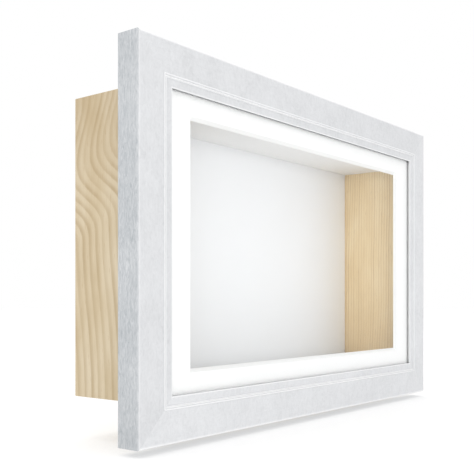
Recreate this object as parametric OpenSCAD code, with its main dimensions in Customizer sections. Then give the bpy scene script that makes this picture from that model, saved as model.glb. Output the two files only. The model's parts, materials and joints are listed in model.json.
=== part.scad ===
// Deep shadow box: a mitred flat moulding carries the glass and a bevelled window mat,
// and a pine box behind it holds the display space, closed by a lift-off back panel
// with two D-ring hangers.
// X runs across the width, Y from front to back and Z upwards. The origin lies on the
// wall plane, midway between the hinge lines of the two hanging rings.

/* [Frame] */
// Overall width of the moulding frame
frame_w = 340; // [300:5:420]
// Overall height of the moulding frame
frame_h = 220; // [200:5:300]
// Width of the moulding, seen from the front
moulding_w = 26; // [25:1:28]
// Thickness of the moulding, front to back
moulding_d = 16; // [14:1:20]
// Width of the rebate that holds the glass, the mat and the box
rebate_w = 6; // [5:0.5:6]
// Distance from the front plane to the rebate's floor
lip_d = 2.5; // [2.2:0.1:4]
// Rounding of the moulding's outer front edge
arris_r = 1.2; // [0.6:0.1:1.6]

/* [Glazing and mat] */
// Thickness of the glass
glass_t = 1.5; // [1.5:0.5:2]
// Thickness of the window mat, cut at 45 degrees
mat_t = 2; // [1.4:0.1:3]
// Mat and moulding together, from the frame's side edge to the window
window_inset_x = 46; // [42:1:60]
// Mat and moulding together, from the frame's top edge to the window
window_inset_z = 39.5; // [38:0.5:50]

/* [Pine box] */
// Play of the box in the moulding's rebate, on each side
box_play = 1; // [0.5:0.5:2]
// Thickness of the pine boards
board_t = 10; // [9:1:12]
// Depth of the whole object, front plane to wall
total_d = 76; // [66:1:100]
// Distance from the wall to the white face of the back panel
back_set = 16; // [14:0.5:20]
// Width of the rebate that the back board drops into
back_rebate_w = 4; // [3:0.5:4.5]
// Thickness of the back board
back_board_t = 3; // [2.5:0.5:4]
// Thickness of the white lining card
liner_t = 1.5; // [1:0.1:2]

/* [Hangers] */
// Distance from the frame's top edge down to the ring hinges
hook_drop = 70; // [60:1:90]
// Distance between the two rings
ring_spacing = 160; // [100:5:200]
// Radius of the bend of a D-ring, to the wire's middle
ring_r = 9; // [8:0.5:10]
// Radius of the ring wire
wire_r = 1; // [0.9:0.1:1.2]

/* [Hidden] */

$fn = 48;
// Every cut runs this far past the faces it cuts through
past = 1;

// Profile of the moulding: flat face, a bead, a groove, a smaller bead and a sunk flat
face_d = 0.4;
bead_u = 19.3;
bead_r = 0.7;
groove_d = 1.3;
groove_w = 0.5;
small_bead_r = 0.5;
small_bead_d = 1;
band_d = 0.9;
sight_r = 0.4;

// Play of the sheets and the back board in their rebates, on each side
sheet_play = 0.5;
// Gap that parts the lining from the lift-off panel
panel_gap = 0.3;

mat_front = lip_d + glass_t;
box_front = mat_front + mat_t;
box_d = total_d - box_front;
box_inset = moulding_w - rebate_w + box_play;
box_w = frame_w - 2 * box_inset;
box_h = frame_h - 2 * box_inset;
inner_w = box_w - 2 * board_t;
inner_h = box_h - 2 * board_t;
liner_front = total_d - back_set;
panel_front = liner_front + liner_t;
panel_back = panel_front + back_board_t;
sheet_w = frame_w - 2 * (moulding_w - rebate_w) - 2 * sheet_play;
sheet_h = frame_h - 2 * (moulding_w - rebate_w) - 2 * sheet_play;
back_opening_w = inner_w + 2 * back_rebate_w;
back_opening_h = inner_h + 2 * back_rebate_w;

// Nails that hold the mitres: two in each corner, driven in from the back
v_nail_leg = 6;
v_nail_d = 7;
v_nail_t = 0.6;
v_nail_spots = [6, 13];

// Dowels in the box's corners
dowel_r = 2.5;
dowel_in_side = 6;
dowel_in_end = 12;
dowel_spots = [box_front + 14, panel_front - 13.5];

// Angle brackets between the moulding's back and the box's sides
bracket_w = 12;
bracket_t = 1.2;
bracket_hole_at = 10;
bracket_x = 0.3 * frame_w;
screw_r = 1.5;
screw_len = 8;
screw_hole_r = 1.7;
screw_head_r = 2.8;
screw_head_h = 1.6;
recess_w = 0.7;
recess_len = 3.2;
recess_d = 0.9;

// Bendable tabs that keep the back board in
tab_w = 7;
tab_t = 0.5;
tab_in_wood = 4;
tab_out = 11;
tab_x = 0.27 * frame_w;

// Strap, rivets and hinge of a D-ring hanger
strap_w = 12;
strap_t = 0.8;
strap_drop = 22;
strap_lift = 0.4;
hinge_play = 0.05;
eye_r = wire_r + hinge_play + strap_t;
rivet_spots = [5, 17];
rivet_r = 1.25;
rivet_head_r = 1.9;
rivet_head_h = 1;
hinge_d = panel_back + eye_r + strap_lift;
hinge_z = frame_h / 2 - hook_drop;

// Puts a shape drawn about the middle of the front plane into the object's own frame
module in_place() {
    translate([0, -total_d, -hinge_z]) children();
}

// Draws a shape at the four corners, mirrored from the first quadrant
module corners() {
    for (sx = [0, 1], sz = [0, 1])
        mirror([sx, 0, 0]) mirror([0, 0, sz]) children();
}

function arc(middle, r, from, to, steps = 6) = [
    for (i = [0:steps])
        let (a = from + (to - from) * i / steps)
            middle + r * [cos(a), sin(a)]
];

// The profile lists [distance from the outer edge, distance behind the front plane]
small_bead_u = bead_u + bead_r + groove_w + small_bead_r;
profile = concat(
    [[0, moulding_d]],
    arc([arris_r, face_d + arris_r], arris_r, 180, 270),
    arc([bead_u, bead_r], bead_r, 180 + asin((bead_r - face_d) / bead_r), 270, 4),
    arc([bead_u, bead_r], bead_r, 285, 360, 5),
    [[bead_u + bead_r, groove_d], [bead_u + bead_r + groove_w, groove_d]],
    arc([small_bead_u, small_bead_d], small_bead_r, 180,
        360 - asin((small_bead_d - band_d) / small_bead_r)),
    arc([moulding_w - sight_r, band_d + sight_r], sight_r, 270, 360),
    [[moulding_w, lip_d], [moulding_w - rebate_w, lip_d],
     [moulding_w - rebate_w, moulding_d]]
);

// One mitred length of moulding along X, its outer edge down at z = 0
module rail(length) {
    intersection() {
        rotate([90, 0, 90])
            linear_extrude(length, center = true)
                polygon([for (p = profile) [p[1], p[0]]]);
        translate([0, moulding_d + past, 0])
            rotate([90, 0, 0])
                linear_extrude(moulding_d + 2 * past)
                    polygon([
                        [-length / 2, 0], [length / 2, 0],
                        [length / 2 - moulding_w, moulding_w],
                        [-length / 2 + moulding_w, moulding_w]
                    ]);
    }
}

// A rail with its nail slots and screw holes, ready to join its neighbours
module drilled_rail() {
    color("#e4e5e7")
        in_place()
            difference() {
                children();
                v_nails();
                bracket_screw_shanks();
            }
}

module frame_bottom() {
    drilled_rail() translate([0, 0, -frame_h / 2]) rail(frame_w);
}

module frame_top() {
    drilled_rail() mirror([0, 0, 1]) translate([0, 0, -frame_h / 2]) rail(frame_w);
}

module frame_left() {
    drilled_rail() translate([-frame_w / 2, 0, 0]) rotate([0, 90, 0]) rail(frame_h);
}

module frame_right() {
    drilled_rail()
        mirror([1, 0, 0]) translate([-frame_w / 2, 0, 0]) rotate([0, 90, 0]) rail(frame_h);
}

// Two thin legs that meet on the mitre line
module v_nails() {
    corners()
        for (spot = v_nail_spots)
            translate([frame_w / 2 - spot, moulding_d - v_nail_d, frame_h / 2 - spot]) {
                translate([-v_nail_leg, 0, -v_nail_t / 2])
                    cube([v_nail_leg + v_nail_t / 2, v_nail_d, v_nail_t]);
                translate([-v_nail_t / 2, 0, -v_nail_leg])
                    cube([v_nail_t, v_nail_d, v_nail_leg + v_nail_t / 2]);
            }
}

module corner_v_nails() {
    color("silver") in_place() v_nails();
}

module glass_pane() {
    color("lightcyan", 0.3)
        in_place()
            translate([-sheet_w / 2, lip_d, -sheet_h / 2])
                cube([sheet_w, glass_t, sheet_h]);
}

// A long prism whose sides close in at 45 degrees from front to back
module bevel_prism(width, length) {
    linear_extrude(length, center = true)
        polygon([
            [-width / 2 - mat_t - past, mat_front - past],
            [width / 2 + mat_t + past, mat_front - past],
            [width / 2 - past, box_front + past],
            [-width / 2 + past, box_front + past]
        ]);
}

module window_mat() {
    window_w = frame_w - 2 * window_inset_x;
    window_h = frame_h - 2 * window_inset_z;
    color("white")
        in_place()
            difference() {
                translate([-sheet_w / 2, mat_front, -sheet_h / 2])
                    cube([sheet_w, mat_t, sheet_h]);
                intersection() {
                    bevel_prism(window_w, frame_h);
                    rotate([0, 90, 0]) bevel_prism(window_h, frame_w);
                }
            }
}

// The step at the back of the box that the back board drops into
module back_rebate() {
    translate([-back_opening_w / 2, panel_front, -back_opening_h / 2])
        cube([back_opening_w, total_d - panel_front + past, back_opening_h]);
}

module box_board() {
    color("#dcc6a2")
        in_place()
            difference() {
                children();
                back_rebate();
                dowels();
                bracket_screw_shanks();
                tabs();
            }
}

module box_top() {
    box_board() translate([-inner_w / 2, box_front, inner_h / 2]) cube([inner_w, box_d, board_t]);
}

module box_bottom() {
    box_board()
        translate([-inner_w / 2, box_front, -box_h / 2]) cube([inner_w, box_d, board_t]);
}

module box_left() {
    box_board()
        translate([-box_w / 2, box_front, -box_h / 2]) cube([board_t, box_d, box_h]);
}

module box_right() {
    box_board()
        translate([inner_w / 2, box_front, -box_h / 2]) cube([board_t, box_d, box_h]);
}

module dowels() {
    corners()
        for (spot = dowel_spots)
            translate([inner_w / 2 - dowel_in_end, spot, (inner_h + board_t) / 2])
                rotate([0, 90, 0]) cylinder(r = dowel_r, h = dowel_in_end + dowel_in_side);
}

module box_dowels() {
    color("burlywood") in_place() dowels();
}

// Draws a bracket's shapes in its six places, from one that sits on a box's top
module bracket_places() {
    for (sx = [-1, 1], sz = [0, 1])
        mirror([0, 0, sz]) translate([sx * bracket_x, moulding_d, box_h / 2]) children();
    for (sx = [0, 1])
        mirror([sx, 0, 0])
            translate([box_w / 2, moulding_d, 0]) rotate([0, 90, 0]) children();
}

module bracket_leg() {
    linear_extrude(bracket_t)
        difference() {
            union() {
                translate([-bracket_w / 2, 0]) square([bracket_w, bracket_hole_at]);
                translate([0, bracket_hole_at]) circle(r = bracket_w / 2);
            }
            translate([0, bracket_hole_at]) circle(r = screw_hole_r);
        }
}

// One leg lies on the box and one on the moulding's back
module bracket() {
    bracket_leg();
    mirror([0, 1, -1]) bracket_leg();
}

module frame_brackets() {
    color("silver") in_place() bracket_places() bracket();
}

// Draws a screw's shapes at both holes of a bracket, pointing into the wood
module bracket_screw_places() {
    bracket_places() {
        translate([0, bracket_hole_at, bracket_t]) children();
        mirror([0, 1, -1]) translate([0, bracket_hole_at, bracket_t]) children();
    }
}

module screw_shank() {
    translate([0, 0, -screw_len - bracket_t])
        cylinder(r = screw_r, h = screw_len + bracket_t);
}

module bracket_screw_shanks() {
    bracket_screw_places() screw_shank();
}

module screw() {
    screw_shank();
    difference() {
        cylinder(r1 = screw_head_r, r2 = 0.7 * screw_head_r, h = screw_head_h);
        for (turn = [0, 90])
            rotate([0, 0, turn])
                translate([-recess_len / 2, -recess_w / 2, screw_head_h - recess_d])
                    cube([recess_len, recess_w, recess_d + past]);
    }
}

module bracket_screws() {
    color("gainsboro") in_place() bracket_screw_places() screw();
}

// White card on the ceiling of the display space
module ceiling_liner() {
    translate([-inner_w / 2, box_front, inner_h / 2 - liner_t])
        cube([inner_w, liner_front - box_front - panel_gap, liner_t]);
}

module liner_top() {
    color("white") in_place() ceiling_liner();
}

module liner_bottom() {
    color("white") in_place() mirror([0, 0, 1]) ceiling_liner();
}

module liner_back() {
    card_w = inner_w - 2 * sheet_play;
    card_h = inner_h - 2 * sheet_play;
    color("white")
        in_place()
            translate([-card_w / 2, liner_front, -card_h / 2])
                cube([card_w, liner_t, card_h]);
}

module back_board() {
    board_w = back_opening_w - 2 * sheet_play;
    board_h = back_opening_h - 2 * sheet_play;
    color("#b48f66")
        in_place()
            difference() {
                translate([-board_w / 2, panel_front, -board_h / 2])
                    cube([board_w, back_board_t, board_h]);
                rivet_places() rivet_shank();
            }
}

// A flat tab whose square end is in the wood and whose round end lies on the board
module tab() {
    translate([0, panel_back + tab_t, 0])
        rotate([90, 0, 0])
            linear_extrude(tab_t) {
                translate([-tab_w / 2, tab_w / 2 - tab_out])
                    square([tab_w, tab_in_wood + tab_out - tab_w / 2]);
                translate([0, tab_w / 2 - tab_out]) circle(r = tab_w / 2);
            }
}

module tabs() {
    for (sz = [0, 1], x = [-tab_x, 0, tab_x])
        mirror([0, 0, sz]) translate([x, 0, back_opening_h / 2]) tab();
    for (sx = [0, 1])
        mirror([sx, 0, 0]) translate([back_opening_w / 2, 0, 0]) rotate([0, 90, 0]) tab();
}

module retaining_tabs() {
    color("lightsteelblue") in_place() tabs();
}

// Puts a hanger's shapes on its two hinge lines, in the plane of the hinge
module hanger_places() {
    for (side = [-1, 1])
        translate([side * ring_spacing / 2, hinge_d, hinge_z]) children();
}

// A plate on the back board that ends in an eye round the ring's straight side
module hanger_straps() {
    color("silver")
        in_place()
            difference() {
                hanger_places() {
                    rotate([0, 90, 0]) cylinder(r = eye_r, h = strap_w, center = true);
                    translate([-strap_w / 2, panel_back - hinge_d, -strap_drop])
                        cube([strap_w, strap_t, strap_drop]);
                }
                hanger_places()
                    rotate([0, 90, 0])
                        cylinder(r = wire_r + hinge_play, h = strap_w + 2 * past, center = true);
                rivet_places() rivet_shank();
            }
}

// Draws a rivet's shapes at its places, from the strap's face pointing backwards
module rivet_places() {
    hanger_places()
        for (spot = rivet_spots)
            translate([0, panel_back + strap_t - hinge_d, -spot]) rotate([-90, 0, 0]) children();
}

module rivet_shank() {
    translate([0, 0, -back_board_t - strap_t]) cylinder(r = rivet_r, h = back_board_t + strap_t);
}

module hanger_rivets() {
    color("gainsboro")
        in_place()
            rivet_places() {
                rivet_shank();
                cylinder(r1 = rivet_head_r, r2 = 0.6 * rivet_head_r, h = rivet_head_h);
            }
}

// A D of round wire: the straight side is the hinge and the bend hangs down
module ring(side) {
    color("silver")
        in_place()
            translate([side * ring_spacing / 2, hinge_d, hinge_z]) {
                rotate([0, 90, 0])
                    cylinder(r = wire_r, h = 2 * (ring_r + wire_r), center = true);
                rotate([-90, 0, 0])
                    rotate_extrude(angle = 180) translate([ring_r, 0]) circle(r = wire_r);
            }
}

module ring_left() {
    ring(-1);
}

module ring_right() {
    ring(1);
}

frame_top();
frame_bottom();
frame_left();
frame_right();
corner_v_nails();
glass_pane();
window_mat();
box_top();
box_bottom();
box_left();
box_right();
box_dowels();
frame_brackets();
bracket_screws();
liner_top();
liner_bottom();
liner_back();
back_board();
retaining_tabs();
hanger_straps();
hanger_rivets();
ring_left();
ring_right();
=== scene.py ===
"""Looks of the deep shadow box: whitewashed moulding, bare pine, white card, glass and steel.

The row frame has X to the right, Y from front to back and Z up. Lengths are in metres.
"""

import itertools
import json
import math

import bmesh
import bpy
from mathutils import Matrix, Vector


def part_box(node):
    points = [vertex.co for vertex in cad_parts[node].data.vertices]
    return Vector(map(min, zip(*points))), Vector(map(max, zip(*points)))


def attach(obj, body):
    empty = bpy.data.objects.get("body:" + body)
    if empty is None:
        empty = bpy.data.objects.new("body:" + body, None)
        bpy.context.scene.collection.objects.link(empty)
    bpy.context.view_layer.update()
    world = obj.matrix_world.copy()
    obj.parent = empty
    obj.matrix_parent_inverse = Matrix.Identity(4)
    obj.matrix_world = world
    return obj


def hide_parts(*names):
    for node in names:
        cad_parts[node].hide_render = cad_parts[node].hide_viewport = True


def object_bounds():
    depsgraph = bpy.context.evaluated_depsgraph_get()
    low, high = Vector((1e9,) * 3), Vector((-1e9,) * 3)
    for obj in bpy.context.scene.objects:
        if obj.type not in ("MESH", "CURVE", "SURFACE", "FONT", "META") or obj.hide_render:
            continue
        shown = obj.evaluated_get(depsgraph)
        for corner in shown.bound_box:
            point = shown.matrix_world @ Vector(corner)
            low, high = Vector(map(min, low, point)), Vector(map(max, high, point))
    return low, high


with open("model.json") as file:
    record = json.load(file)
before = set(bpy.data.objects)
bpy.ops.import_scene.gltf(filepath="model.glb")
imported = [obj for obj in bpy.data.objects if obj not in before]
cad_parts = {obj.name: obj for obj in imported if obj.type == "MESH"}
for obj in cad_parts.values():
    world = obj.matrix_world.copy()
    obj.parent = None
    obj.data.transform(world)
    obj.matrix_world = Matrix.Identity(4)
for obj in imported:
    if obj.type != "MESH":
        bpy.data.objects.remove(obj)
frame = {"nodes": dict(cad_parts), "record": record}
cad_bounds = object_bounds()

MM = 0.001

RECORD = frame["record"]
BODY_OF = {node: body for body, nodes in RECORD["behaviour"]["bodies"].items() for node in nodes}

# The moulding frame's outline, and the planes of its front and of the wall
LEFT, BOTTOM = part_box("frame_left")[0].x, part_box("frame_bottom")[0].z
RIGHT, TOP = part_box("frame_right")[1].x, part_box("frame_top")[1].z
FRONT, WALL = cad_bounds[0].y, 0.0
WIDTH, HEIGHT = RIGHT - LEFT, TOP - BOTTOM
MIDDLE_Z = (TOP + BOTTOM) / 2

# The moulding's section: places are measured in from its outer edge, depths from its front
FACE_WIDTH = 26.0 * MM
BEAD = 19.3 * MM
GROOVE = 20.25 * MM
SMALL_BEAD = 21.0 * MM
GROOVE_DEPTH = 1.3 * MM
PAINTED_GROOVE_DEPTH = 1.03 * MM

# Faces that meet at a smaller angle than this, in degrees, are shaded as one smooth surface
SMOOTH_BELOW = 32


# ---------------------------------------------------------------- node trees


class Tree:
    """A node tree being built: each call adds a node and returns the socket it gives out."""

    def __init__(self, name):
        self.material = bpy.data.materials.new(name)
        self.material.use_nodes = True
        self.tree = self.material.node_tree
        self.tree.nodes.clear()

    def add(self, kind, inputs=(), **settings):
        node = self.tree.nodes.new(kind)
        for key, value in settings.items():
            setattr(node, key, value)
        for key, value in dict(inputs).items():
            self.fill(node.inputs[key], value)
        return node

    def fill(self, socket, value):
        """Links the socket to another node's output, or sets it to a plain value."""
        if isinstance(value, bpy.types.NodeSocket):
            self.tree.links.new(value, socket)
        else:
            socket.default_value = value

    def place(self):
        """The point's own place in the row frame, which rides with the piece."""
        return self.add("ShaderNodeTexCoord").outputs["Object"]

    def facing(self):
        """The surface's normal in the row frame."""
        return self.add("ShaderNodeTexCoord").outputs["Normal"]

    def parts(self, vector):
        return self.add("ShaderNodeSeparateXYZ", {"Vector": vector}).outputs

    def join(self, x, y, z):
        return self.add("ShaderNodeCombineXYZ", {"X": x, "Y": y, "Z": z}).outputs["Vector"]

    def math(self, operation, a, b=0.0, c=0.0):
        node = self.add("ShaderNodeMath", {0: a, 1: b, 2: c}, operation=operation)
        return node.outputs["Value"]

    def add_up(self, *values):
        total = values[0]
        for value in values[1:]:
            total = self.math("ADD", total, value)
        return total

    def step(self, value, low, high, start=0.0, end=1.0):
        """start below low, end above high, and a smooth change between them."""
        inputs = {"Value": value, "From Min": low, "From Max": high, "To Min": start, "To Max": end}
        node = self.add("ShaderNodeMapRange", inputs, interpolation_type="SMOOTHSTEP")
        return node.outputs["Result"]

    def hump(self, value, middle, half_width):
        """1 at the middle, falling smoothly to 0 at half_width on both sides."""
        off = self.math("ABSOLUTE", self.math("SUBTRACT", value, middle))
        return self.step(off, 0.0, half_width, 1.0, 0.0)

    def noise(self, vector, scale, detail=3.0, roughness=0.5, distortion=0.0):
        inputs = {
            "Vector": vector,
            "Scale": scale,
            "Detail": detail,
            "Roughness": roughness,
            "Distortion": distortion,
        }
        return self.add("ShaderNodeTexNoise", inputs).outputs["Fac"]

    def cells(self, vector, scale, output="Distance"):
        node = self.add("ShaderNodeTexVoronoi", {"Vector": vector, "Scale": scale})
        return node.outputs[output]

    def stretch(self, vector, factors):
        node = self.add("ShaderNodeVectorMath", {0: vector, 1: factors}, operation="MULTIPLY")
        return node.outputs["Vector"]

    def shift(self, vector, offset):
        node = self.add("ShaderNodeVectorMath", {0: vector, 1: offset}, operation="ADD")
        return node.outputs["Vector"]

    def mix(self, share, a, b):
        """Colour a, changing to colour b as share goes from 0 to 1."""
        node = self.add("ShaderNodeMix", data_type="RGBA")
        sockets = {socket.identifier: socket for socket in node.inputs}
        for key, value in {"Factor_Float": share, "A_Color": a, "B_Color": b}.items():
            self.fill(sockets[key], value)
        return next(socket for socket in node.outputs if socket.identifier == "Result_Color")

    def ramp(self, value, *stops):
        """A colour for each value: stops are (position, colour)."""
        node = self.add("ShaderNodeValToRGB", {"Fac": value})
        elements = node.color_ramp.elements
        while len(elements) < len(stops):
            elements.new(0.5)
        for element, (position, colour) in zip(elements, stops):
            element.position = position
            element.color = colour
        return node.outputs["Color"]

    def weigh(self, *pairs):
        """The sum of some values, each times its own weight."""
        return self.add_up(*(self.math("MULTIPLY", value, weight) for value, weight in pairs))

    def bump(self, height, distance, strength):
        inputs = {"Height": height, "Distance": distance, "Strength": strength}
        return self.add("ShaderNodeBump", inputs).outputs["Normal"]

    def surface(self, colour, roughness, **others):
        """Ends the tree in a Principled shader and gives back the material.

        others are the shader's further sockets, with _ for each space in their names.
        """
        inputs = {"Base Color": colour, "Roughness": roughness}
        inputs.update({key.replace("_", " "): value for key, value in others.items()})
        shader = self.add("ShaderNodeBsdfPrincipled", inputs)
        return self.end(shader.outputs["BSDF"])

    def end(self, shader):
        self.add("ShaderNodeOutputMaterial", {"Surface": shader})
        return self.material


def rgb(red, green, blue):
    """A colour given in display values from 0 to 255, as the linear colour that a shader takes."""

    def linear(value):
        share = value / 255
        return share / 12.92 if share <= 0.04045 else ((share + 0.055) / 1.055) ** 2.4

    return (linear(red), linear(green), linear(blue), 1.0)


# ---------------------------------------------------------------- materials


def along_grain(tree, place, axis, seed):
    """The place with its length along the grain first, then its depth, then the third way."""
    x, y, z = tree.parts(place)
    turned = tree.join(x, y, z) if axis == "X" else tree.join(z, y, x)
    return tree.shift(turned, (seed, 0.37 * seed, 0.61 * seed))


def whitewash(name, axis, seed, painted_edge_highlight, painted_lip_shading, painted_brightness_lift=0):
    """Chalky paint brushed over open grain: pale and smooth in front, greyer and rougher on the sides.

    axis is the way the length of moulding runs. The next three arguments paint light into the
    colour: how strongly the outer front edge is painted white as a highlight; the colour of the
    rebate and of the narrow edge beside the glass, which is painted shade on the upper and lower
    lengths, for the shadow that the moulding's inner edge casts on the mat, and painted light on
    the side lengths, for the dark slot beside the pane; and how much paler the face is painted,
    to even out how brightly each length is lit.
    """
    tree = Tree(name)
    place = tree.place()
    x, y, z = tree.parts(place)
    if axis == "X":
        off_middle, reach = tree.math("SUBTRACT", z, MIDDLE_Z), HEIGHT / 2
    else:
        off_middle, reach = x, WIDTH / 2
    across = tree.math("SUBTRACT", reach, tree.math("ABSOLUTE", off_middle))
    depth = tree.math("SUBTRACT", y, FRONT)
    front = tree.step(tree.math("ABSOLUTE", tree.parts(tree.facing())[1]), 0.5, 0.95)

    grain = along_grain(tree, place, axis, seed)
    wander = tree.noise(tree.stretch(grain, (30, 90, 90)), 1.0, 2.0)
    bent = tree.shift(grain, tree.join(0.0, tree.math("MULTIPLY", wander, 6 * MM), 0.0))
    streaks = tree.noise(tree.stretch(bent, (230, 1050, 1050)), 1.0, 4.0, 0.66, 0.9)
    pores = tree.noise(tree.stretch(bent, (420, 2400, 2400)), 1.0, 3.0, 0.7, 0.6)
    strokes = tree.noise(tree.stretch(place, (330, 700, 210)), 1.0, 4.0, 0.6, 1.6)
    clouds = tree.noise(place, 45.0, 3.0, 0.5, 0.6)

    # The face's colours are lifted by a painted brightening that evens out how brightly each length is
    # lit.
    face = tree.ramp(
        tree.weigh((strokes, 0.5), (streaks, 0.25), (clouds, 0.25)),
        (0.34, rgb(196 + painted_brightness_lift, 197 + painted_brightness_lift, 199 + painted_brightness_lift)),
        (0.5, rgb(205 + painted_brightness_lift, 206 + painted_brightness_lift, 208 + painted_brightness_lift)),
        (0.66, rgb(212 + painted_brightness_lift, 213 + painted_brightness_lift, 215 + painted_brightness_lift)),
    )
    side = tree.ramp(
        tree.weigh((streaks, 0.55), (pores, 0.25), (clouds, 0.2)),
        (0.34, rgb(157, 162, 166)),
        (0.5, rgb(182, 185, 188)),
        (0.64, rgb(201, 203, 205)),
    )
    colour = tree.mix(front, side, face)

    # Painted highlights: the bead tops, the outer front edge and the inner edge by the window are
    # painted white as if they caught the light, and the groove is painted white to lift the shade in
    # it.
    bead_highlight = tree.hump(across, BEAD, 0.75 * MM)
    small_bead_highlight = tree.hump(across, SMALL_BEAD, 0.6 * MM)
    groove = tree.hump(across, GROOVE, 0.6 * MM)
    edge = tree.math(
        "MULTIPLY",
        tree.step(across, 0.3 * MM, 2.0 * MM, 1.0, 0.0),
        tree.step(depth, 0.6 * MM, 2.4 * MM, 1.0, 0.0),
    )
    sight_edge_highlight = tree.step(across, FACE_WIDTH - 1.0 * MM, FACE_WIDTH - 0.3 * MM)
    painted_highlights = tree.weigh(
        (bead_highlight, 0.5), (small_bead_highlight, 0.35), (groove, 1.0), (edge, painted_edge_highlight), (sight_edge_highlight, 0.5)
    )
    painted_highlights = tree.math("MULTIPLY", painted_highlights, tree.step(depth, 2.2 * MM, 2.6 * MM, 1.0, 0.0))
    colour = tree.mix(tree.math("MINIMUM", painted_highlights, 1.0), colour, rgb(250, 250, 250))
    # Painted shade and light beside the glass: a grey on the upper and lower lengths paints the shadow
    # that the moulding's inner edge casts on the mat, and a near-white on the side lengths paints
    # light into the dark slot beside the pane.
    painted_lip_mask = tree.math(
        "MULTIPLY", tree.step(across, 18 * MM, 19 * MM), tree.step(depth, 1.5 * MM, 2.0 * MM)
    )
    colour = tree.mix(painted_lip_mask, colour, painted_lip_shading)

    relief = tree.weigh(
        (streaks, tree.step(front, 0.0, 1.0, 0.8, 0.35)),
        (pores, 0.25),
        (strokes, tree.math("MULTIPLY", front, 0.45)),
    )
    return tree.surface(
        colour,
        tree.step(streaks, 0.3, 0.7, 0.72, 0.58),
        Normal=tree.bump(relief, 0.16 * MM, 0.55),
        Specular_IOR_Level=0.35,
    )


def pine(name, axis, seed, ring, waver, figure=None, pale=0.0, bold=None, ends=(0.0, 0.0)):
    """Bare planed pine cut from a trunk whose rings are ring millimetres apart.

    axis is the way the board's length runs, and waver is how far the rings wander, in
    millimetres. figure bends them along the board. pale takes the wood from gold at 0 to cream
    at 1; the cream is painted light, a paler copy of the pine for a board in the shade inside the
    box. bold is the depth of one darker line, in millimetres, and ends says how much darker
    the upper and the lower end are.
    """
    tree = Tree(name)
    place = tree.place()
    grain = along_grain(tree, place, axis, seed)
    x, y, z = tree.parts(place)
    length, thickness = (x, z) if axis == "X" else (z, x)

    slow = tree.noise(tree.stretch(grain, (9, 28, 28)), 1.0, 2.0)
    slanting = tree.math("ADD", y, tree.math("MULTIPLY", thickness, 0.35))
    outward = tree.math("MULTIPLY_ADD", tree.math("SUBTRACT", slow, 0.5), waver * MM, slanting)
    if figure:
        outward = figure(tree, outward, length)
    else:
        outward = tree.math("MULTIPLY_ADD", length, 0.02, outward)
    fine = tree.noise(tree.stretch(grain, (60, 900, 900)), 1.0, 3.0, 0.6)

    # Each ring is pale early wood, then late wood that darkens slowly and ends sharply
    years = tree.math("MULTIPLY_ADD", fine, 0.16, tree.math("DIVIDE", outward, ring * MM))
    season = tree.math("FRACT", years)
    late = tree.math(
        "MULTIPLY", tree.step(season, 0.2, 0.8), tree.step(season, 0.82, 1.0, 1.0, 0.0)
    )
    year = tree.join(tree.math("FLOOR", years), seed, 0.0)
    strength = tree.noise(year, 0.9, 0.0)
    along = tree.noise(tree.stretch(grain, (14, 120, 120)), 1.0, 2.0)
    late = tree.math("MULTIPLY", late, tree.step(strength, 0.25, 0.7, 0.45, 1.0))
    late = tree.math("MULTIPLY", late, tree.step(along, 0.3, 0.7, 0.5, 1.0))
    if bold is not None:
        line = tree.math("MULTIPLY_ADD", fine, 0.6 * MM, outward)
        late = tree.math("MAXIMUM", late, tree.hump(line, bold * MM, 1.1 * MM))

    fibres = tree.noise(tree.stretch(grain, (95, 2400, 2400)), 1.0, 4.0, 0.65)
    blotch = tree.noise(tree.stretch(grain, (22, 60, 60)), 1.0, 3.0)

    def tint(gold, cream):
        return rgb(*(a + (b - a) * pale for a, b in zip(gold, cream)))

    early = tree.ramp(
        blotch,
        (0.3, tint((194, 176, 144), (237, 211, 165))),
        (0.5, tint((203, 187, 158), (245, 221, 177))),
        (0.72, tint((211, 197, 171), (251, 231, 192))),
    )
    dark = tint((164, 141, 104), (213, 179, 126))
    colour = tree.mix(tree.math("MULTIPLY", late, 0.7), early, dark)
    colour = tree.mix(tree.step(fibres, 0.42, 0.75, 0.0, 0.2), colour, dark)
    upper, lower = ends
    colour = tree.mix(tree.step(z, -30 * MM, 45 * MM, 0.0, upper), colour, dark)
    colour = tree.mix(tree.step(z, -120 * MM, -55 * MM, lower, 0.0), colour, dark)
    flecks = tree.cells(tree.stretch(grain, (70, 700, 700)), 1.0)
    colour = tree.mix(tree.step(flecks, 0.05, 0.16, 0.35, 0.0), colour, rgb(158, 118, 74))
    relief = tree.weigh((late, 0.5), (fibres, 0.5))
    return tree.surface(
        colour,
        tree.step(late, 0.0, 1.0, 0.66, 0.5),
        Normal=tree.bump(relief, 0.09 * MM, 0.5),
        Specular_IOR_Level=0.35,
    )


def round_a_knot(tree, outward, length):
    """The left board's figure: rings swing to the back under its top end, then well forward."""
    down = tree.math("SUBTRACT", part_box("box_left")[1].z - 33 * MM, length)
    later = tree.math("MULTIPLY_ADD", outward, -0.45, down)
    return tree.add_up(
        outward,
        tree.step(later, -4 * MM, 30 * MM, 0.0, -11 * MM),
        tree.step(later, 32 * MM, 80 * MM, 0.0, 28 * MM),
        tree.step(later, 76 * MM, 172 * MM, 0.0, 8 * MM),
    )


def card(name, white, shade, tooth):
    """Smooth board, white with a faint shade in it, and a paper tooth given in millimetres."""
    tree = Tree(name)
    place = tree.place()
    fibre = tree.noise(tree.stretch(place, (1900, 1500, 2300)), 1.0, 4.0, 0.7, 0.8)
    cloud = tree.noise(place, 26.0, 3.0)
    return tree.surface(
        tree.mix(tree.weigh((fibre, 0.5), (cloud, 0.5)), white, shade),
        tree.step(fibre, 0.3, 0.7, 0.82, 0.94),
        Normal=tree.bump(fibre, tooth * MM, 0.4),
        Specular_IOR_Level=0.25,
    )


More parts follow.
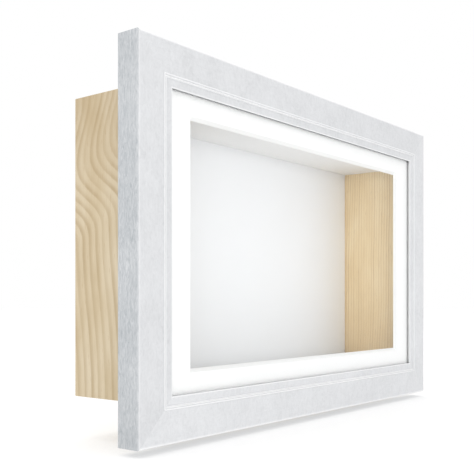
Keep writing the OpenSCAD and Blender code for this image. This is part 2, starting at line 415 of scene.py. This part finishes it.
def clear_glass(name):
    """A thin clean pane: see-through, with a mirror's share that grows at low angles."""
    tree = Tree(name)
    place = tree.place()
    smear = tree.noise(tree.stretch(place, (18, 18, 11)), 1.0, 4.0, 0.6, 1.2)
    clear = tree.add("ShaderNodeBsdfTransparent", {"Color": (0.996, 0.998, 0.997, 1.0)})
    shine = tree.add(
        "ShaderNodeBsdfGlossy",
        {"Color": (1.0, 1.0, 1.0, 1.0), "Roughness": tree.step(smear, 0.35, 0.7, 0.02, 0.06)},
    )
    low_angle = tree.add("ShaderNodeLayerWeight", {"Blend": 0.5}).outputs["Facing"]
    share = tree.math("MULTIPLY_ADD", tree.math("POWER", low_angle, 5.0), 0.9, 0.01)
    pane = tree.add(
        "ShaderNodeMixShader", {0: share, 1: clear.outputs["BSDF"], 2: shine.outputs["BSDF"]}
    )
    return tree.end(pane.outputs["Shader"])


def fibreboard(name):
    """Brown hardboard: matted fibres, a little darker where the surface is pressed."""
    tree = Tree(name)
    place = tree.place()
    one_way = tree.noise(tree.stretch(place, (240, 500, 1500)), 1.0, 4.0, 0.7, 2.0)
    other_way = tree.noise(tree.stretch(place, (1500, 500, 240)), 1.0, 4.0, 0.7, 2.0)
    specks = tree.cells(place, 420.0)
    cloud = tree.noise(place, 16.0, 3.0)
    mixed = tree.weigh((one_way, 0.35), (other_way, 0.35), (cloud, 0.3))
    colour = tree.ramp(
        mixed,
        (0.36, rgb(122, 84, 52)),
        (0.5, rgb(150, 108, 70)),
        (0.64, rgb(178, 136, 94)),
    )
    colour = tree.mix(tree.step(specks, 0.08, 0.22, 0.5, 0.0), colour, rgb(96, 62, 36))
    return tree.surface(
        colour,
        tree.step(mixed, 0.35, 0.65, 0.75, 0.6),
        Normal=tree.bump(mixed, 0.12 * MM, 0.5),
        Specular_IOR_Level=0.3,
    )


def steel(name, base, dark, rough):
    """Plated sheet and wire: fine rolling lines, soft clouds and a faint crystal pattern."""
    tree = Tree(name)
    place = tree.place()
    lines = tree.noise(tree.stretch(place, (400, 400, 5200)), 1.0, 3.0, 0.6)
    clouds = tree.noise(place, 210.0, 3.0, 0.6, 0.5)
    crystals = tree.cells(place, 1400.0, "Color")
    spangle = tree.parts(crystals)[0]
    share = tree.weigh((lines, 0.45), (clouds, 0.35), (spangle, 0.12))
    return tree.surface(
        tree.mix(tree.step(share, 0.2, 0.7), dark, base),
        tree.step(share, 0.2, 0.7, rough + 0.14, rough),
        Metallic=1.0,
        Normal=tree.bump(lines, 0.02 * MM, 0.4),
    )


MATERIALS = {
    # Painted light differs by length: white edge highlights on the upper and lower lengths, grey
    # painted shade beside the glass on the upper and lower lengths and near-white painted light there
    # on the side lengths, and a painted brightening of each face.
    "frame_top": whitewash(
        "whitewash_top", "X", seed=3.1, painted_edge_highlight=0.7, painted_lip_shading=rgb(120, 122, 125), painted_brightness_lift=3
    ),
    "frame_bottom": whitewash(
        "whitewash_bottom", "X", seed=7.7, painted_edge_highlight=0.7, painted_lip_shading=rgb(180, 182, 185), painted_brightness_lift=8
    ),
    "frame_left": whitewash(
        "whitewash_left", "Z", seed=1.3, painted_edge_highlight=0.1, painted_lip_shading=rgb(240, 240, 240), painted_brightness_lift=2
    ),
    "frame_right": whitewash(
        "whitewash_right", "Z", seed=5.9, painted_edge_highlight=0.1, painted_lip_shading=rgb(245, 245, 245), painted_brightness_lift=6
    ),
    "glass_pane": clear_glass("glass"),
    "window_mat": card("mat_board", rgb(247, 247, 247), rgb(243, 243, 243), tooth=0.03),
    "liner_back": card("lining_back", rgb(248, 249, 251), rgb(243, 244, 246), tooth=0.04),
    "liner_top": card("lining_top", rgb(250, 250, 250), rgb(246, 246, 246), tooth=0.04),
    # The lower lining is a greyer white than the others: painted shade, which throws less light on the
    # lower part of the back lining and so darkens it.
    "liner_bottom": card("lining_bottom", rgb(234, 234, 233), rgb(227, 227, 226), tooth=0.04),
    "box_left": pine(
        "pine_left", "Z", seed=2.2, ring=5.8, waver=3.0, figure=round_a_knot, ends=(0.3, 0.0)
    ),
    # The inner right board is painted cream: painted light for the shade inside the box.
    "box_right": pine(
        "pine_right", "Z", seed=9.4, ring=2.4, waver=6.0, pale=1.0, bold=-44.0, ends=(0.0, 0.3)
    ),
    "box_top": pine("pine_top", "X", seed=4.8, ring=3.4, waver=14.0),
    "box_bottom": pine("pine_bottom", "X", seed=6.6, ring=3.9, waver=16.0),
    "box_dowels": pine("beech", "X", seed=8.1, ring=1.2, waver=2.0),
    "back_board": fibreboard("fibreboard"),
    "frame_brackets": steel(
        "zinc_plate", rgb(206, 208, 212), dark=rgb(164, 168, 174), rough=0.26
    ),
    "corner_v_nails": steel(
        "spring_steel", rgb(150, 153, 158), dark=rgb(112, 116, 122), rough=0.3
    ),
}
# Nodes that are made of the same thing as another node
SAME_MATERIAL = {
    "bracket_screws": "frame_brackets",
    "hanger_straps": "frame_brackets",
    "hanger_rivets": "frame_brackets",
    "ring_left": "frame_brackets",
    "ring_right": "frame_brackets",
    "retaining_tabs": "corner_v_nails",
}


def material_for(node):
    return MATERIALS[SAME_MATERIAL.get(node, node)]


# ---------------------------------------------------------------- pieces


def piece_from(bm, name, node):
    """A finished piece that stands for a CAD node: same body, better mesh."""
    mesh = bpy.data.meshes.new(name)
    bmesh.ops.recalc_face_normals(bm, faces=bm.faces)
    bm.to_mesh(mesh)
    bm.free()
    mesh.shade_smooth()
    mesh.set_sharp_from_angle(angle=math.radians(SMOOTH_BELOW))
    mesh.materials.append(material_for(node))
    piece = bpy.data.objects.new(name, mesh)
    bpy.context.scene.collection.objects.link(piece)
    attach(piece, BODY_OF[node])
    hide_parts(node)
    return piece


def cut_places(low, high, notches, axis):
    """Where the faces of a notched cuboid lie along one axis."""
    places = {low[axis], high[axis]}
    for notch in notches:
        places.update(corner[axis] for corner in notch if low[axis] < corner[axis] < high[axis])
    return sorted(places)


def block_mesh(low, high, notches=()):
    """A cuboid less some cuboid notches, as one closed mesh with square edges.

    Each notch is (low corner, high corner). The space is cut into cells along every face's
    plane, and the faces between a full cell and an empty one are kept.
    """
    places = [cut_places(low, high, notches, axis) for axis in range(3)]
    counts = [len(along) - 1 for along in places]

    def full(cell):
        if any(not 0 <= cell[i] < counts[i] for i in range(3)):
            return False
        middle = [(places[i][cell[i]] + places[i][cell[i] + 1]) / 2 for i in range(3)]
        return not any(
            all(start[i] < middle[i] < end[i] for i in range(3)) for start, end in notches
        )

    bm = bmesh.new()
    points = {}

    def vertex(key):
        if key not in points:
            points[key] = bm.verts.new([places[i][key[i]] for i in range(3)])
        return points[key]

    def face(cell, axis, side):
        """The cell's face on its low side (0) or its high side (1) along the axis."""
        first, second = [i for i in range(3) if i != axis]
        corners = []
        for a, b in ((0, 0), (1, 0), (1, 1), (0, 1)):
            key = list(cell)
            key[axis] += side
            key[first] += a
            key[second] += b
            corners.append(vertex(tuple(key)))
        bm.faces.new(corners)

    for cell in filter(full, itertools.product(*(range(count) for count in counts))):
        for axis, side in itertools.product(range(3), (0, 1)):
            beside = list(cell)
            beside[axis] += 2 * side - 1
            if not full(beside):
                face(cell, axis, side)
    bmesh.ops.recalc_face_normals(bm, faces=bm.faces)
    bmesh.ops.dissolve_limit(bm, angle_limit=math.radians(1), verts=bm.verts, edges=bm.edges)
    return bm


def eased(bm, width):
    """The mesh with every sharp edge rounded a little, as sanding does."""
    sharp = [
        edge
        for edge in bm.edges
        if edge.is_manifold and edge.calc_face_angle() > math.radians(30)
    ]
    bmesh.ops.bevel(
        bm, geom=sharp, offset=width, segments=3, profile=0.5, affect="EDGES", clamp_overlap=True
    )
    return bm


def make_boards():
    """The four pine boards, with the rebate that the back board drops into and sanded edges."""
    panel_low, panel_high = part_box("back_board")
    play = 0.5 * MM
    behind = WALL + MM
    rebate = (
        Vector((panel_low.x - play, panel_low.y, panel_low.z - play)),
        Vector((panel_high.x + play, behind, panel_high.z + play)),
    )
    for side in ("left", "right", "top", "bottom"):
        node = f"box_{side}"
        low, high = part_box(node)
        bm = eased(block_mesh(low, high, [rebate]), 0.45 * MM)
        piece_from(bm, f"pine_board_{side}", node)


def make_cards():
    """The lining cards, with cut edges; the upper and lower ones come up to the back one's face."""
    slit = 0.03 * MM
    for node, name in (
        ("liner_back", "lining_card_back"),
        ("liner_top", "lining_card_top"),
        ("liner_bottom", "lining_card_bottom"),
    ):
        low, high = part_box(node)
        if node != "liner_back":
            high.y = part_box("liner_back")[0].y - slit
        piece_from(eased(block_mesh(low, high), 0.05 * MM), name, node)


def fill_groove(bm):
    """Lets thick paint lie in the bottom of the moulding's narrow groove."""
    for vert in bm.verts:
        from_side = WIDTH / 2 - abs(vert.co.x)
        from_end = HEIGHT / 2 - abs(vert.co.z - MIDDLE_Z)
        in_groove = abs(min(from_side, from_end) - GROOVE) < 0.45 * MM
        if in_groove and abs(vert.co.y - FRONT - GROOVE_DEPTH) < 0.1 * MM:
            vert.co.y = FRONT + PAINTED_GROOVE_DEPTH


def dressed(node, name, ease=0.0, change=None):
    """A piece from the CAD shape: welded, changed, its sharp edges eased and its flats shaded flat."""
    bm = bmesh.new()
    bm.from_mesh(frame["nodes"][node].data)
    bmesh.ops.remove_doubles(bm, verts=bm.verts, dist=0.001 * MM)
    if change:
        change(bm)
    bmesh.ops.dissolve_limit(bm, angle_limit=math.radians(0.5), verts=bm.verts, edges=bm.edges)
    if ease:
        eased(bm, ease)
    piece = piece_from(bm, name, node)
    flats = piece.modifiers.new("flat_faces_stay_flat", "WEIGHTED_NORMAL")
    flats.keep_sharp = True
    flats.weight = 100
    return piece


def make_front():
    """The moulding's four lengths, the pane and the window mat."""
    for side in ("left", "right", "top", "bottom"):
        dressed(f"frame_{side}", f"moulding_{side}", change=fill_groove)
    dressed("glass_pane", "glass_sheet", 0.15 * MM)
    dressed("window_mat", "mat_with_bevelled_window", 0.05 * MM)


def make_hardware():
    """Everything behind: the back board and its fittings, and the steel in the corners."""
    dressed("back_board", "hardboard_panel", 0.25 * MM)
    dressed("frame_brackets", "angle_brackets", 0.2 * MM)
    dressed("bracket_screws", "pan_head_screws", 0.05 * MM)
    dressed("retaining_tabs", "bent_back_tabs", 0.08 * MM)
    dressed("hanger_straps", "strap_hangers", 0.15 * MM)
    dressed("hanger_rivets", "strap_rivets", 0.05 * MM)
    dressed("ring_left", "hanging_ring_left")
    dressed("ring_right", "hanging_ring_right")
    dressed("corner_v_nails", "v_nails_in_the_mitres")
    dressed("box_dowels", "beech_pegs")


def dress_cad_nodes():
    """Gives every CAD node its finished material, the hidden ones too."""
    for node, piece in frame["nodes"].items():
        piece.data.materials.clear()
        piece.data.materials.append(material_for(node))


# ---------------------------------------------------------------- studio


def make_floor():
    """A wide white shooting table, lit from below, just under the frame's lower edge."""
    bm = bmesh.new()
    bmesh.ops.create_grid(bm, x_segments=24, y_segments=24, size=6.0)
    mesh = bpy.data.meshes.new("floor")
    bm.to_mesh(mesh)
    bm.free()
    floor = bpy.data.objects.new("floor", mesh)
    floor.location = (0, 0, BOTTOM - 4 * MM)
    bpy.context.scene.collection.objects.link(floor)
    tree = Tree("floor_paint")
    fleck = tree.noise(tree.place(), 60.0, 2.0)
    colour = tree.mix(fleck, (0.58, 0.58, 0.58, 1.0), (0.57, 0.57, 0.57, 1.0))
    glow = {"Emission_Color": (1.0, 1.0, 1.0, 1.0), "Emission_Strength": 0.42}
    mesh.materials.append(tree.surface(colour, 0.9, Specular_IOR_Level=0.1, **glow))


def make_light(name, place, size, power):
    """A soft box at the place, aimed at the middle of the frame's front."""
    aim = Vector((0, FRONT, MIDDLE_Z))
    data = bpy.data.lights.new(name, "AREA")
    data.shape = "RECTANGLE"
    data.size, data.size_y = size
    data.energy = power
    light = bpy.data.objects.new(name, data)
    light.location = place
    light.rotation_euler = (aim - Vector(place)).to_track_quat("-Z", "Y").to_euler()
    bpy.context.scene.collection.objects.link(light)


def make_studio():
    """A white room, a wide light overhead and behind, and a soft box level with the frame."""
    world = bpy.data.worlds.new("studio")
    world.use_nodes = True
    background = world.node_tree.nodes["Background"]
    background.inputs["Color"].default_value = (1.0, 1.0, 1.0, 1.0)
    background.inputs["Strength"].default_value = 1.0
    bpy.context.scene.world = world
    bpy.context.scene.view_settings.view_transform = "Standard"
    make_light("ceiling_of_light", (0, 0.8, MIDDLE_Z + 2.0), (3.0, 3.0), 24.0)
    make_light("soft_box_left", (-0.87, FRONT - 0.87, MIDDLE_Z + 0.02), (0.85, 0.22), 2.85)


def make_camera():
    """Level, low and to the left, with the horizon kept below the picture's middle.

    It stands off the frame's lower left front corner by so many times the frame's height.
    """
    to_the_left, to_the_front, above = 1.297, 1.324, 0.3577
    turned_right = 51.54
    data = bpy.data.cameras.new("camera")
    data.sensor_width = 36.0
    data.lens = 59.36
    data.shift_y = 0.1323
    data.clip_start = 0.01
    camera = bpy.data.objects.new("camera", data)
    camera.location = (
        LEFT - to_the_left * HEIGHT,
        FRONT - to_the_front * HEIGHT,
        BOTTOM + above * HEIGHT,
    )
    camera.rotation_euler = (math.radians(90), 0, math.radians(-turned_right))
    bpy.context.scene.collection.objects.link(camera)
    bpy.context.scene.camera = camera


dress_cad_nodes()
make_front()
make_boards()
make_cards()
make_hardware()
make_floor()
make_studio()
make_camera()
